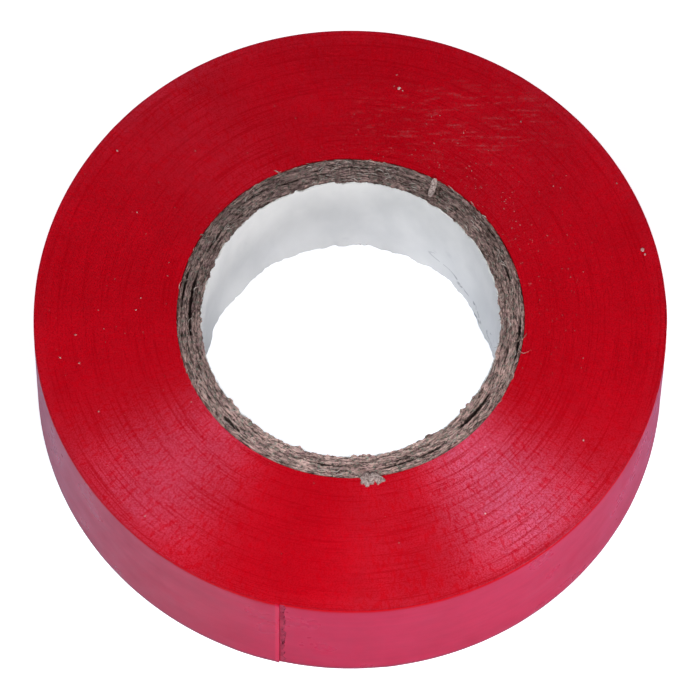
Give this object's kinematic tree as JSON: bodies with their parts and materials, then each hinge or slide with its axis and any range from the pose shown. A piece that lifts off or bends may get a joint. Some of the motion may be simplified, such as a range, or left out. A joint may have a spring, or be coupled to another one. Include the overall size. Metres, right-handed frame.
{
  "type": "electrical tape roll",
  "caption": "Roll of red vinyl electrical tape wound on a layered paperboard core with a plain round bore; the cut end of the tape peels back from the outside.",
  "frame": {"origin": "on the bore axis, at the roll's lower side face", "axes": "+Z along the bore axis, up from the face the roll lies on; the cut end of the tape is on the -Y side, 12.8 degrees round from -Y towards -X, and the tape spirals outwards anticlockwise seen from +Z"},
  "size_m": [0.0763, 0.0763, 0.019],
  "materials": {
    "liner_paper": "matte",
    "core_board": "matte",
    "wound_tape": "satin",
    "tape_film": "satin",
    "tape_adhesive": "satin"
  },
  "bodies": {
    "roll": {"core_liner": "liner_paper", "core_ply_1": "core_board", "core_ply_2": "core_board", "core_ply_3": "core_board", "core_ply_4": "core_board", "core_ply_5": "core_board", "tape_winding": "wound_tape", "last_turn_film": "tape_film", "last_turn_adhesive": "tape_adhesive"},
    "tail": {"tail_film": "tape_film", "tail_adhesive": "tape_adhesive"}
  },
  "joints": [
    {"name": "tail_peel", "type": "hinge", "parent": "roll", "child": "tail", "pos_m": [-0.02042, -0.03234, 0.0095], "axis": [0, 0, -1], "range_deg": [0, 120]}
  ]
}
